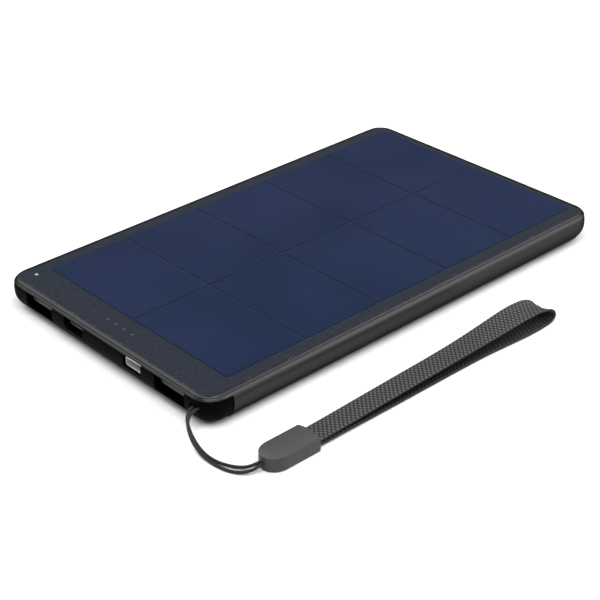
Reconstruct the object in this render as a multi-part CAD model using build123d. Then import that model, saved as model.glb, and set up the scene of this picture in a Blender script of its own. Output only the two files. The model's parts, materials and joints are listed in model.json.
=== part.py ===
from build123d import *
import math
import os

# A flat solar phone charger. X runs along the body with the sockets at -X, the solar cells face +Z,
# and z = 0 is the table that it lies on. All lengths are in millimetres.

os.makedirs("parts", exist_ok=True)

# Body: the outline's length, width and height. The panel's recess takes its flat top away, and the end caps
# stand inside its ends, so the finished body is a little shorter and thinner.
BODY_L = 160.0
BODY_W = 98.0
BODY_H = 10.2
CORNER_R = 7.0
TOP_ROUND = 3.0
BOTTOM_ROUND = 6.0
RIM_W = 2.1
GROOVE_IN = 1.05
GROOVE_W = 0.16
GROOVE_LOW = 9.3
POCKET_R = 3.2
DECK_TOP = 8.6
DECK_BOTTOM = 7.7
FLOOR_T = 1.2
BAY_W = 94.4
BAY_ROUND = 4.5

# End caps: they wrap the ends below the rim
RIM_SPLIT = 8.8
PORT_SEAM = -70.6
FAR_SEAM = 72.6
CAP_INSET = 0.25
CAP_WALL = 1.6
CAP_TOP_GAP = 0.05
CAP_INNER_ROUND = 4.4
SEAM_GAP = 0.15
LIP_REACH = 4.1
LIP_ROOT = 2.3
LIP_WALL = 1.05
LIP_CLEARANCE = 0.15
DECK_REACH = 78.6
DECK_HALF_W = 47.6

# Snap beads on the lips, and the slots in the housing's floor that they click into
SNAP_FROM_SEAM = 2.6
SNAP_Y = [-25.0, 25.0]
BEAD_SIZE = (1.2, 8.0)
SLOT_SIZE = (1.8, 8.6)
BEAD_RISE = 0.4
SLOT_DEPTH = 0.6

# Solar laminate, from the deck up
LAMINATE_GAP = 0.15
ADHESIVE_T = 0.15
BACKBOARD_T = 0.95
LINK_T = 0.05
CELL_T = 0.2
FILM_T = 0.27
COVER_T = 0.13
CELL_PITCH_X = 28.65
CELL_PITCH_Y = 42.5
CELL_GAP = 0.8
CELLS_X = 5
CELLS_Y = 2
CELLS_CENTRE_X = 4.1
CELLS_CENTRE_Y = 0.2
TAPE_BORDER = 8.0
RIBBON_W = 2.0
RIBBON_OFFSET = 10.0
RIBBON_SPAN = 8.0
START_RIBBON = 6.0

# Lights in the dark border beside the sockets
LIGHT_X = -72.15
LEVEL_LIGHT_Y = [6.05, 2.05, -1.95, -5.95]
CHARGE_LIGHT_Y = 42.7
LIGHT_R = 0.55

# Sockets, by the centre of each mouth. Sizes are across and high, tongues across, high, and above the centre.
SOCKET_FRONT = -78.9
USB_A_Y = [30.7, -32.0]
USB_A_Z = 5.7
USB_A_SIZE = (13.0, 5.6)
USB_A_DEPTH = 14.0
USB_C_Y = 13.0
USB_C_SIZE = (8.94, 3.26)
USB_C_DEPTH = 7.6
MICRO_Y = -15.2
MICRO_SIZE = (7.6, 2.8)
MICRO_DEPTH = 5.4
SHELL_T = 0.25
USB_A_CORNER = 0.6
USB_C_CORNER = 1.6
MICRO_CORNER = 0.7
INSERT_T = 1.6
USB_A_TONGUE = (11.1, 1.8, 1.1)
USB_C_TONGUE = (6.7, 0.7, 0.0)
MICRO_TONGUE = (3.8, 0.6, 0.55)
CUTOUT_GAP = 0.15
CUTOUT_DEPTH = 4.5

# Circuit board. Screw heads are a radius and a height, their driver sockets a radius and a depth, and lamps
# and the guide's bar go by length, width and height.
BOARD_LOW = 4.4
BOARD_TOP = 5.2
BOARD_X = (-77.4, -56.0)
BOARD_HALF_W = 44.0
BOARD_CORNER_R = 2.5
BOARD_SCREWS = [(-73.0, 21.0), (-73.0, -23.2)]
BOSS_R = 2.0
SCREW_R = 0.9
SCREW_HEAD = (1.8, 1.1)
SCREW_SOCKET = (0.6, 0.5)
CHIP_CAPACITORS = [(-67.5, 0.0), (-67.5, 3.4), (-58.6, 14.0), (-58.6, 17.4), (-67.5, -19.5)]
LAMP_SIZE = (0.8, 1.6, 0.6)
GUIDE_GAP = 0.1
GUIDE_BAR_Z = (6.4, 7.4)
GUIDE_BAR = (1.6, 15.0)
GUIDE_FLANGE_R = 1.3

# Power key on the long side at +Y. Its size is along and high, and its flange length, thickness and height.
KEY_X = -60.0
KEY_Z = 5.9
KEY_SIZE = (7.6, 2.2)
KEY_CLEARANCE = 0.15
KEY_FACE_Y = 48.9
KEY_BACK_Y = 46.6
KEY_FLANGE = (9.6, 0.6, 3.4)
KEY_EDGE = 0.3
STEM_R = 0.7
STEM_Y = (45.4, 46.8)
SWITCH_W = 4.6
SWITCH_Y = (41.4, 44.4)
SWITCH_H = 2.2
PLUNGER_R = 0.65
PLUNGER_Y = (43.8, 45.4)
WELL_CLEARANCE = 0.1
WELL_DEPTH = 1.1

# Battery. The pouches' seal is how far it reaches, how much narrower it is than the pouch, and its heights;
# the tabs are length, width and heights, and the protection board length, half width and heights.
BATTERY_X = (-50.0, 66.0)
BATTERY_W = 43.5
BATTERY_LOW = 1.5
BATTERY_TOP = 7.1
BATTERY_APART = 1.2
POUCH_CORNER = 2.5
POUCH_ROUND = 1.0
SEAL = (3.0, 6.0, (3.9, 4.2))
TAB_Y = [8.0, 28.0, -8.0, -28.0]
TAB_SIZE = (2.0, 5.0, (3.95, 4.15))
PROTECTION = (2.3, 34.0, (3.05, 3.95))
PAD_W = 84.0

# Leads. Each solar lead has its start and end along the body, and its bend radius.
SOLAR_LEADS = [(-62.9, -66.4, 0.9), (-61.1, -58.6, 0.8)]
SOLAR_LEADS_Y = 22.0
SOLAR_LEAD_D = 0.9
SOLAR_LEAD_Z = 6.6
LEADS_HOLE_R = 1.8
BATTERY_LEADS_Y = [-1.2, 1.2]
BATTERY_LEAD_D = 1.1
BATTERY_LEAD_X = (-54.2, -57.4)
BATTERY_LEAD_Z = 6.6
BATTERY_LEAD_BEND = 1.0

# Lanyard pocket, pin and cord
POCKET_Y = -43.1
POCKET_W = 3.8
POCKET_Z = (5.2, 7.4)
POCKET_CORNER = 0.9
POCKET_BACK = -75.6
POCKET_WALL_X = (-79.0, -74.4)
POCKET_WALL_W = 5.8
PIN_Z = (3.7, 7.5)
PIN_X = -77.6
PIN_R = 0.6
CORD_D = 0.9

# Ferrule and wrist strap, lying on the table beside the body. The ferrule's hollows are its strap slot, by
# depth and heights, the crimp's seat, by length, width and heights, and the cord hole, by width and heights.
FERRULE_X = (-79.2, -62.8)
FERRULE_Y = -70.1
FERRULE_W = 8.8
FERRULE_H = 5.0
FERRULE_NOSE_R = 4.0
FERRULE_ROUND = 1.4
STRAP_SLOT = (7.2, (0.5, 2.75))
CRIMP_SEAT = (5.0, 4.2, (1.2, 3.6))
CORD_HOLE = (2.3, (1.8, 2.8))
CRIMP_CLEARANCE = 0.1
STRAP_Y = -69.8
STRAP_W = 7.2
STRAP_T = 0.9

# The cord's route: out of the ferrule, along the table, up to the pocket, round the pin and back
CORD_ROUTE = [
    (-75.0, -70.65, 2.3),
    (-79.9, -70.5, 2.3),
    (-83.3, -69.2, 0.8),
    (-86.1, -65.5, 0.5),
    (-87.2, -60.0, 0.5),
    (-87.1, -54.4, 0.8),
    (-86.2, -49.2, 2.9),
    (-84.0, -45.2, 5.1),
    (-80.9, -43.7, 6.3),
    (-76.4, -44.45, 6.3),
    (-76.4, -41.75, 6.3),
    (-80.5, -42.5, 6.3),
    (-83.4, -44.1, 5.2),
    (-85.3, -48.4, 3.0),
    (-86.2, -53.8, 0.9),
    (-86.1, -58.9, 0.5),
    (-84.6, -63.6, 0.5),
    (-82.3, -67.2, 0.8),
    (-79.9, -69.5, 2.3),
    (-75.0, -69.55, 2.3),
]

# The strap's route in the XZ plane: the upper layer, the end of the loop, then the layer on the table
STRAP_ROUTE = [
    (-69.5, 2.15),
    (-57.0, 2.3),
    (-34.0, 3.2),
    (-8.0, 3.95),
    (9.0, 5.1),
    (19.5, 6.2),
    (26.4, 6.2),
    (30.0, 4.2),
    (29.8, 1.3),
    (25.0, 0.46),
    (9.0, 0.62),
    (-14.0, 0.46),
    (-38.0, 0.62),
    (-54.5, 0.94),
    (-66.2, 1.05),
]

# Heights worked out from the stack
STEM_Z = BOARD_TOP + 1.1
ADHESIVE_TOP = DECK_TOP + ADHESIVE_T
BACKBOARD_TOP = ADHESIVE_TOP + BACKBOARD_T
LINK_TOP = BACKBOARD_TOP + LINK_T
CELL_TOP = LINK_TOP + CELL_T
FILM_TOP = BACKBOARD_TOP + FILM_T
COVER_TOP = FILM_TOP + COVER_T
POCKET_L = BODY_L - 2 * RIM_W
POCKET_WIDE = BODY_W - 2 * RIM_W
LAMINATE_L = POCKET_L - 2 * LAMINATE_GAP
LAMINATE_W = POCKET_WIDE - 2 * LAMINATE_GAP
LAMINATE_R = POCKET_R - LAMINATE_GAP
CELL_X = CELL_PITCH_X - CELL_GAP
CELL_Y = CELL_PITCH_Y - CELL_GAP
PLENTY = 5.0


def keep(node, shape):
    """Write one sub-part to its own file."""
    shape.label = node
    export_step(shape, f"parts/{node}.step")


def block(x, y, z):
    """A box between pairs of limits along X, Y and Z."""
    centre = Pos((x[0] + x[1]) / 2, (y[0] + y[1]) / 2, (z[0] + z[1]) / 2)
    return centre * Box(x[1] - x[0], y[1] - y[0], z[1] - z[0])


def about(middle, width):
    """A pair of limits, half the width each side of the middle."""
    return (middle - width / 2, middle + width / 2)


def plate(length, width, low, high, corner):
    """A plate centred on the body's axis, with rounded plan corners."""
    return extrude(Pos(0, 0, low) * RectangleRounded(length, width, corner), amount=high - low)


def facing_side(z, y):
    """A plane at the key, facing out of the long side that the key is in."""
    return Plane(origin=(KEY_X, y, z), x_dir=(1, 0, 0), z_dir=(0, 1, 0))


def upright_rod(x, y, low, high, radius):
    """A round rod parallel to Z."""
    return Pos(x, y, (low + high) / 2) * Cylinder(radius, high - low)


def mouth(y, z, width, height, corner, front, back):
    """A rounded rectangle facing along X, drawn out from its front to its back."""
    face = Plane(origin=(front, y, z), x_dir=(0, 1, 0), z_dir=(1, 0, 0))
    return extrude(face * RectangleRounded(width, height, corner), amount=back - front)


def group(solids):
    """Separate solids held as one sub-part."""
    return Compound(children=list(solids))


def body_outline():
    """The outer form: a rounded slab with a small round above and a larger one below."""
    slab = plate(BODY_L, BODY_W, 0, BODY_H, CORNER_R)
    slab = fillet(slab.edges().group_by(Axis.Z)[-1], TOP_ROUND)
    return fillet(slab.edges().group_by(Axis.Z)[0], BOTTOM_ROUND)


def bay(inset, low_rise):
    """The battery bay's section drawn along the whole body, shrunk by the inset on each side."""
    half = BAY_W / 2 - inset
    hollow = block(about(0, BODY_L + PLENTY), (-half, half), (FLOOR_T + low_rise, DECK_BOTTOM - inset))
    return fillet(hollow.edges().filter_by(Axis.X).group_by(Axis.Z)[0], BAY_ROUND - low_rise)


def deck_end(side, clearance):
    """The end of the deck that stays above an end cap, with round corners, grown by the clearance."""
    reach = DECK_REACH + clearance
    half = DECK_HALF_W + clearance
    corner = CORNER_R - (BODY_L / 2 - reach)
    deck = plate(2 * reach, 2 * half, DECK_BOTTOM - clearance, BODY_H, corner)
    x = (-BODY_L, 0) if side < 0 else (0, BODY_L)
    return deck & block(x, about(0, BODY_W), (0, BODY_H))


def end_notch(side, seam):
    """What is cut from an end of the sleeve to take its cap."""
    x = (-BODY_L, seam) if side < 0 else (seam, BODY_L)
    zone = block(x, about(0, BODY_W + PLENTY), (-PLENTY, RIM_SPLIT))
    return zone - deck_end(side, 0)


def rim_groove():
    """A fine groove round the rim, an even distance in from the body's outline."""
    rings = []
    for inset in (GROOVE_IN, GROOVE_IN + GROOVE_W):
        rings.append(plate(BODY_L - 2 * inset, BODY_W - 2 * inset, GROOVE_LOW, BODY_H, CORNER_R - inset))
    return rings[0] - rings[1]


def light_places():
    """The plan position of each light, the level lights first."""
    return [(LIGHT_X, y) for y in LEVEL_LIGHT_Y + [CHARGE_LIGHT_Y]]


def socket_plans():
    """Each socket's place across the body, its width and its depth."""
    plans = [(y, USB_A_SIZE[0], USB_A_DEPTH) for y in USB_A_Y]
    return plans + [(USB_C_Y, USB_C_SIZE[0], USB_C_DEPTH), (MICRO_Y, MICRO_SIZE[0], MICRO_DEPTH)]


def make_sleeve():
    """The aluminium housing: rim, deck, sides and floor, open at both ends."""
    sleeve = body_outline()
    sleeve -= plate(POCKET_L, POCKET_WIDE, DECK_TOP, BODY_H + PLENTY, POCKET_R)
    sleeve -= rim_groove()
    sleeve -= bay(0, 0)
    sleeve -= end_notch(-1, PORT_SEAM)
    sleeve -= end_notch(1, FAR_SEAM)
    for y, width, depth in socket_plans():
        window_y = about(y, width + 0.5)
        back = SOCKET_FRONT + depth + 0.5
        sleeve -= block((-DECK_REACH - 0.1, back), window_y, (DECK_BOTTOM - 0.1, DECK_TOP))
        sleeve -= block((-POCKET_L / 2, back), window_y, (DECK_TOP - 0.1, DECK_TOP + 0.1))
    for x, y in light_places():
        sleeve -= upright_rod(x, y, DECK_BOTTOM - 1, DECK_TOP + 1, LIGHT_R + 0.1)
    leads_x = sum(lead[0] for lead in SOLAR_LEADS) / len(SOLAR_LEADS)
    sleeve -= upright_rod(leads_x, SOLAR_LEADS_Y, DECK_BOTTOM - 1, DECK_TOP + 1, LEADS_HOLE_R)
    slot = SlotOverall(KEY_SIZE[0] + 2 * KEY_CLEARANCE, KEY_SIZE[1] + 2 * KEY_CLEARANCE)
    sleeve -= extrude(facing_side(KEY_Z, SWITCH_Y[1]) * slot, amount=BODY_W)
    relief_x = about(KEY_X, KEY_FLANGE[0] + 0.8)
    sleeve -= block(relief_x, (SWITCH_Y[1], BAY_W / 2), (KEY_Z - KEY_FLANGE[2] / 2 - 0.3, DECK_BOTTOM))
    slot_z = (FLOOR_T - SLOT_DEPTH, FLOOR_T + 0.2)
    for x in (PORT_SEAM + SNAP_FROM_SEAM, FAR_SEAM - SNAP_FROM_SEAM):
        for y in SNAP_Y:
            sleeve -= block(about(x, SLOT_SIZE[0]), about(y, SLOT_SIZE[1]), slot_z)
    return sleeve


def cap_outline():
    """The caps' outer form: the body's, set in a little all round, and cut off below the rim."""
    length, width = BODY_L - 2 * CAP_INSET, BODY_W - 2 * CAP_INSET
    slab = plate(length, width, CAP_INSET, BODY_H - CAP_INSET, CORNER_R - CAP_INSET)
    slab = fillet(slab.edges().group_by(Axis.Z)[-1], TOP_ROUND - CAP_INSET)
    slab = fillet(slab.edges().group_by(Axis.Z)[0], BOTTOM_ROUND - CAP_INSET)
    return slab & block(about(0, BODY_L), about(0, BODY_W), (0, RIM_SPLIT - CAP_TOP_GAP))


def cap_hollow():
    """The caps' inner form."""
    inset = CAP_INSET + CAP_WALL
    half_w = BAY_W / 2 - LIP_CLEARANCE - LIP_WALL
    hollow = plate(BODY_L - 2 * inset, 2 * half_w, CAP_INSET + FLOOR_T, RIM_SPLIT, CORNER_R - inset)
    return fillet(hollow.edges().group_by(Axis.Z)[0], CAP_INNER_ROUND)


def make_cap(side, seam):
    """A plain end cap: a shell below the rim, and a lip with snap beads that slides into the sleeve."""
    edge = seam + side * SEAM_GAP
    x = (-BODY_L, edge) if side < 0 else (edge, BODY_L)
    cap = cap_outline() & block(x, about(0, BODY_W), (-PLENTY, BODY_H))
    cap -= cap_hollow()
    tip = seam - side * LIP_REACH
    root = edge + side * LIP_ROOT
    lip_zone = block((min(tip, root), max(tip, root)), about(0, BODY_W), (0, BODY_H))
    lip = bay(LIP_CLEARANCE, LIP_CLEARANCE) & lip_zone
    wall = LIP_WALL + LIP_CLEARANCE
    lip_hollow = block(about(0, BODY_L + PLENTY), about(0, BAY_W - 2 * wall), (FLOOR_T + wall, BODY_H))
    lip -= fillet(lip_hollow.edges().filter_by(Axis.X).group_by(Axis.Z)[0], BAY_ROUND - wall)
    cap += lip
    bead_x = about(seam - side * SNAP_FROM_SEAM, BEAD_SIZE[0])
    for y in SNAP_Y:
        cap += block(bead_x, about(y, BEAD_SIZE[1]), (FLOOR_T - BEAD_RISE, FLOOR_T + BEAD_RISE))
    return cap - deck_end(side, LIP_CLEARANCE)


def make_port_cap():
    """The end cap with the sockets' cut-outs, the board's bosses and the lanyard pocket."""
    cap = make_cap(-1, PORT_SEAM)
    wall_z = (FLOOR_T, DECK_BOTTOM - LIP_CLEARANCE)
    cap += block(POCKET_WALL_X, about(POCKET_Y, POCKET_WALL_W), wall_z) & cap_outline()
    for x, y in BOARD_SCREWS:
        cap += upright_rod(x, y, FLOOR_T, BOARD_LOW, BOSS_R)
        cap -= upright_rod(x, y, FLOOR_T + 0.8, BOARD_LOW + 1, SCREW_R)
    front, back = -BODY_L / 2 - 1, -BODY_L / 2 + CUTOUT_DEPTH
    for y in USB_A_Y:
        low = USB_A_Z - USB_A_SIZE[1] / 2 - CUTOUT_GAP
        cap -= block((front, back), about(y, USB_A_SIZE[0] + 2 * CUTOUT_GAP), (low, RIM_SPLIT + 1))
    for y, size, corner in ((USB_C_Y, USB_C_SIZE, USB_C_CORNER), (MICRO_Y, MICRO_SIZE, MICRO_CORNER)):
        z = BOARD_TOP + size[1] / 2
        width, height = size[0] + 4 * CUTOUT_GAP, size[1] + 4 * CUTOUT_GAP
        cap -= mouth(y, z, width, height, corner + 2 * CUTOUT_GAP, front, back)
        cap -= block((front, back), about(y, width), (z, RIM_SPLIT + 1))
    pocket_z = (POCKET_Z[0] + POCKET_Z[1]) / 2
    cap -= mouth(POCKET_Y, pocket_z, POCKET_W, POCKET_Z[1] - POCKET_Z[0], POCKET_CORNER, front, POCKET_BACK)
    return cap - upright_rod(PIN_X, POCKET_Y, PIN_Z[0], PIN_Z[1], PIN_R)


def cell_centres():
    """The middle of each solar cell, row by row."""
    centres = []
    for row in range(CELLS_Y):
        for column in range(CELLS_X):
            x = CELLS_CENTRE_X + (column - (CELLS_X - 1) / 2) * CELL_PITCH_X
            y = CELLS_CENTRE_Y + (row - (CELLS_Y - 1) / 2) * CELL_PITCH_Y
            centres.append((x, y))
    return centres


def link_boxes():
    """The copper ribbons under the cells: across each gap in a row, between the rows, and at the start."""
    boxes = []
    first = CELLS_CENTRE_X - CELLS_X * CELL_PITCH_X / 2
    for row_y in (CELLS_CENTRE_Y - CELL_PITCH_Y / 2, CELLS_CENTRE_Y + CELL_PITCH_Y / 2):
        for gap in range(1, CELLS_X):
            for offset in (-RIBBON_OFFSET, RIBBON_OFFSET):
                x = first + gap * CELL_PITCH_X
                boxes.append((about(x, RIBBON_SPAN), about(row_y + offset, RIBBON_W)))
        boxes.append(((first + 1, first + 1 + START_RIBBON), about(row_y, RIBBON_W)))
    boxes.append((about(first + (CELLS_X - 0.5) * CELL_PITCH_X, RIBBON_W), about(CELLS_CENTRE_Y, RIBBON_SPAN)))
    return [block(x, y, (BACKBOARD_TOP, LINK_TOP)) for x, y in boxes]


def make_laminate():
    """The solar laminate's layers, from the adhesive frame up to the clear cover."""
    cells = [block(about(x, CELL_X), about(y, CELL_Y), (LINK_TOP, CELL_TOP)) for x, y in cell_centres()]
    for number, cell in enumerate(cells, 1):
        keep(f"solar_cell_{number:02d}", cell)
    links = link_boxes()
    keep("cell_links", group(links))
    film = plate(LAMINATE_L, LAMINATE_W, BACKBOARD_TOP, FILM_TOP, LAMINATE_R)
    keep("encapsulant_film", film - cells - links)
    keep("cover_sheet", plate(LAMINATE_L, LAMINATE_W, FILM_TOP, COVER_TOP, LAMINATE_R))
    backboard = plate(LAMINATE_L, LAMINATE_W, ADHESIVE_TOP, BACKBOARD_TOP, LAMINATE_R)
    adhesive = plate(LAMINATE_L, LAMINATE_W, DECK_TOP, ADHESIVE_TOP, LAMINATE_R)
    border = 2 * TAPE_BORDER
    adhesive -= plate(LAMINATE_L - border, LAMINATE_W - border, DECK_TOP - 1, ADHESIVE_TOP + 1, LAMINATE_R)
    for x, y in light_places():
        backboard -= upright_rod(x, y, DECK_TOP, FILM_TOP, LIGHT_R + 0.05)
        adhesive -= upright_rod(x, y, DECK_TOP - 1, FILM_TOP, LIGHT_R + 0.3)
    keep("solar_backboard", backboard)
    keep("backboard_adhesive", adhesive)


def make_battery():
    """Two flat pouch cells side by side on a foam pad, their tabs and the protection board."""
    seal_x, seal_inset, seal_z = SEAL
    tab_x, tab_w, tab_z = TAB_SIZE
    edge = BATTERY_X[0] - seal_x
    for name, side in (("battery_cell_left", 1), ("battery_cell_right", -1)):
        y = side * (BATTERY_W + BATTERY_APART) / 2
        pouch = block(BATTERY_X, about(y, BATTERY_W), (BATTERY_LOW, BATTERY_TOP))
        pouch = fillet(pouch.edges().filter_by(Axis.Z), POUCH_CORNER)
        pouch = fillet(pouch.edges().group_by(Axis.Z)[-1], POUCH_ROUND)
        pouch += block(about(BATTERY_X[0], 2 * seal_x), about(y, BATTERY_W - seal_inset), seal_z)
        keep(name, pouch)
    keep("battery_tabs", group([block((edge - tab_x, edge), about(y, tab_w), tab_z) for y in TAB_Y]))
    keep("battery_pad", block(BATTERY_X, about(0, PAD_W), (FLOOR_T, BATTERY_LOW)))
    length, half_w, z = PROTECTION
    keep("protection_board", block((edge - 0.1 - length, edge - 0.1), (-half_w, half_w), z))


def make_screw(x, y):
    """A board screw: a cheese head with a round driver socket, on a plain shank."""
    head_r, head_h = SCREW_HEAD
    socket_r, socket_depth = SCREW_SOCKET
    screw = upright_rod(x, y, BOARD_TOP, BOARD_TOP + head_h, head_r)
    screw += upright_rod(x, y, FLOOR_T + 1.0, BOARD_TOP, SCREW_R)
    return screw - upright_rod(x, y, BOARD_TOP + head_h - socket_depth, BODY_H, socket_r)


def make_lights():
    """The lamps on the board and the clear guides that lead up through the deck to the backboard's face."""
    length, width, height = LAMP_SIZE
    lamp_z = (BOARD_TOP, BOARD_TOP + height)
    for number, y in enumerate(LEVEL_LIGHT_Y, 1):
        keep(f"level_led_{number}", block(about(LIGHT_X, length), about(y, width), lamp_z))
    keep("charge_led", block(about(LIGHT_X, length), about(CHARGE_LIGHT_Y, width), lamp_z))
    low = lamp_z[1] + GUIDE_GAP
    middle = sum(LEVEL_LIGHT_Y) / len(LEVEL_LIGHT_Y)
    guide = block(about(LIGHT_X, GUIDE_BAR[0]), about(middle, GUIDE_BAR[1]), GUIDE_BAR_Z)
    for y in LEVEL_LIGHT_Y:
        guide += upright_rod(LIGHT_X, y, low, BACKBOARD_TOP, LIGHT_R)
    keep("level_light_guide", guide)
    single = upright_rod(LIGHT_X, CHARGE_LIGHT_Y, low, BACKBOARD_TOP, LIGHT_R)
    single += upright_rod(LIGHT_X, CHARGE_LIGHT_Y, GUIDE_BAR_Z[0], GUIDE_BAR_Z[1], GUIDE_FLANGE_R)
    keep("charge_light_guide", single)


def on_board(x, y, size):
    """A component standing on the board, by its middle and its length, width and height."""
    return block(about(x, size[0]), about(y, size[1]), (BOARD_TOP, BOARD_TOP + size[2]))


def make_board():
    """The main board, its screws, and the coil, chips and capacitors on it."""
    board = block(BOARD_X, (-BOARD_HALF_W, BOARD_HALF_W), (BOARD_LOW, BOARD_TOP))
    board = fillet(board.edges().filter_by(Axis.Z), BOARD_CORNER_R)
    for y in USB_A_Y:
        board -= block((-BODY_L, SOCKET_FRONT + USB_A_DEPTH + 0.3), about(y, USB_A_SIZE[0] + 0.4), (0, BODY_H))
    pocket_side = POCKET_Y + POCKET_WALL_W / 2 + 0.5
    board -= block((-BODY_L, POCKET_WALL_X[1] + 0.4), (-BOARD_HALF_W - 1, pocket_side), (0, BODY_H))
    for x, y in BOARD_SCREWS:
        board -= upright_rod(x, y, 0, BODY_H, SCREW_R + 0.2)
    keep("main_board", board)
    keep("board_screws", group([make_screw(x, y) for x, y in BOARD_SCREWS]))
    coil = on_board(-61.5, -2.0, (7.0, 7.0, 2.3))
    keep("inductor", fillet(coil.edges().filter_by(Axis.Z), 1.5))
    keep("power_chip", on_board(-64.0, 9.0, (5.0, 5.0, 0.9)))
    keep("controller_chip", on_board(-61.0, -14.0, (6.0, 6.0, 1.2)))
    keep("capacitors", group([on_board(x, y, (1.6, 2.6, 1.3)) for x, y in CHIP_CAPACITORS]))
    make_lights()


def make_shell(y, z, size, corner, depth):
    """A pressed metal socket shell, closed at the back."""
    inner = (size[0] - 2 * SHELL_T, size[1] - 2 * SHELL_T)
    outside = mouth(y, z, size[0], size[1], corner, SOCKET_FRONT, SOCKET_FRONT + depth)
    hollow = mouth(y, z, inner[0], inner[1], corner - SHELL_T, SOCKET_FRONT - 1, SOCKET_FRONT + depth - SHELL_T)
    return outside - hollow


def make_tongue(y, z, size, corner, depth, tongue, tongue_z, recess):
    """A socket's plastic insert: a block that fills the back of the shell, and the tongue ahead of it."""
    inner = (size[0] - 2 * SHELL_T - 0.02, size[1] - 2 * SHELL_T - 0.02)
    back = SOCKET_FRONT + depth - SHELL_T
    insert = mouth(y, z, inner[0], inner[1], corner - SHELL_T, back - INSERT_T, back)
    low = z + tongue_z - tongue[1] / 2
    return insert + block((SOCKET_FRONT + recess, back - 1), about(y, tongue[0]), (low, low + tongue[1]))


def make_contacts(y, face_z, count, pitch, width, thickness, front, back):
    """A row of contact strips against one face of a tongue."""
    strips = []
    for index in range(count):
        strip_y = y + (index - (count - 1) / 2) * pitch
        z = (min(face_z, face_z + thickness), max(face_z, face_z + thickness))
        strips.append(block((front, back), about(strip_y, width), z))
    return strips


def make_sockets():
    """The four charging sockets, each a shell, a tongue and its contacts."""
    for number, y in enumerate(USB_A_Y, 1):
        width, height, rise = USB_A_TONGUE
        keep(f"usb_a_shell_{number}", make_shell(y, USB_A_Z, USB_A_SIZE, USB_A_CORNER, USB_A_DEPTH))
        tongue = make_tongue(y, USB_A_Z, USB_A_SIZE, USB_A_CORNER, USB_A_DEPTH, (width, height), rise, 1.0)
        keep(f"usb_a_tongue_{number}", tongue)
        low, ends = USB_A_Z + rise - height / 2, (SOCKET_FRONT + 2, SOCKET_FRONT + USB_A_DEPTH - 2)
        keep(f"usb_a_contacts_{number}", group(make_contacts(y, low, 4, 2.3, 1.0, -0.15, *ends)))
    z = BOARD_TOP + USB_C_SIZE[1] / 2
    width, height, rise = USB_C_TONGUE
    keep("usb_c_shell", make_shell(USB_C_Y, z, USB_C_SIZE, USB_C_CORNER, USB_C_DEPTH))
    tongue = make_tongue(USB_C_Y, z, USB_C_SIZE, USB_C_CORNER, USB_C_DEPTH, (width, height), rise, 0.5)
    keep("usb_c_tongue", tongue)
    ends = (SOCKET_FRONT + 1.2, SOCKET_FRONT + 5)
    upper = make_contacts(USB_C_Y, z + height / 2, 12, 0.5, 0.25, 0.06, *ends)
    lower = make_contacts(USB_C_Y, z - height / 2, 12, 0.5, 0.25, -0.06, *ends)
    keep("usb_c_contacts", group(upper + lower))
    z = BOARD_TOP + MICRO_SIZE[1] / 2
    width, height, rise = MICRO_TONGUE
    keep("micro_usb_shell", make_shell(MICRO_Y, z, MICRO_SIZE, MICRO_CORNER, MICRO_DEPTH))
    tongue = make_tongue(MICRO_Y, z, MICRO_SIZE, MICRO_CORNER, MICRO_DEPTH, (width, height), rise, 0.8)
    keep("micro_usb_tongue", tongue)
    low, ends = z + rise - height / 2, (SOCKET_FRONT + 1.2, SOCKET_FRONT + 3.4)
    keep("micro_usb_contacts", group(make_contacts(MICRO_Y, low, 5, 0.65, 0.35, -0.08, *ends)))


def make_key():
    """The power key, which slides inwards, and the tact switch that it presses."""
    key = extrude(facing_side(KEY_Z, KEY_BACK_Y) * SlotOverall(*KEY_SIZE), amount=KEY_FACE_Y - KEY_BACK_Y)
    key = fillet(key.edges().group_by(Axis.Y)[-1], KEY_EDGE)
    length, thickness, height = KEY_FLANGE
    flange_y = (BAY_W / 2 - 0.05 - thickness, BAY_W / 2 - 0.05)
    key += block(about(KEY_X, length), flange_y, about(KEY_Z, height))
    key += extrude(facing_side(STEM_Z, STEM_Y[0]) * Circle(STEM_R), amount=STEM_Y[1] - STEM_Y[0])
    keep("power_key", key)
    switch = block(about(KEY_X, SWITCH_W), SWITCH_Y, (BOARD_TOP, BOARD_TOP + SWITCH_H))
    well = facing_side(STEM_Z, SWITCH_Y[1] - WELL_DEPTH) * Circle(PLUNGER_R + WELL_CLEARANCE)
    keep("switch_body", switch - extrude(well, amount=PLENTY))
    plunger = facing_side(STEM_Z, PLUNGER_Y[0]) * Circle(PLUNGER_R)
    keep("switch_plunger", extrude(plunger, amount=PLUNGER_Y[1] - PLUNGER_Y[0]))


def wire(points, radius, thickness):
    """An insulated lead along straight runs joined by arcs."""
    path = FilletPolyline(*points, radius=radius)
    section = Plane(origin=path @ 0, z_dir=path % 0) * Circle(thickness / 2)
    return sweep(section, path=path)


def make_leads():
    """The leads from the solar laminate and from the battery to the main board."""
    solar = []
    for x, end_x, bend in SOLAR_LEADS:
        plan = [(x, ADHESIVE_TOP), (x, SOLAR_LEAD_Z), (end_x, SOLAR_LEAD_Z), (end_x, BOARD_TOP)]
        solar.append(wire([(px, SOLAR_LEADS_Y, pz) for px, pz in plan], bend, SOLAR_LEAD_D))
    keep("solar_leads", group(solar))
    start, end = BATTERY_LEAD_X
    plan = [(start, PROTECTION[2][1]), (start, BATTERY_LEAD_Z), (end, BATTERY_LEAD_Z), (end, BOARD_TOP)]
    battery = []
    for y in BATTERY_LEADS_Y:
        battery.append(wire([(px, y, pz) for px, pz in plan], BATTERY_LEAD_BEND, BATTERY_LEAD_D))
    keep("battery_leads", group(battery))


def half_turn(before, corner, after):
    """Half the angle that a route turns by at a corner, in radians."""
    first = Vector(*corner) - Vector(*before)
    second = Vector(*after) - Vector(*corner)
    return math.radians(first.get_angle(second)) / 2


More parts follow.
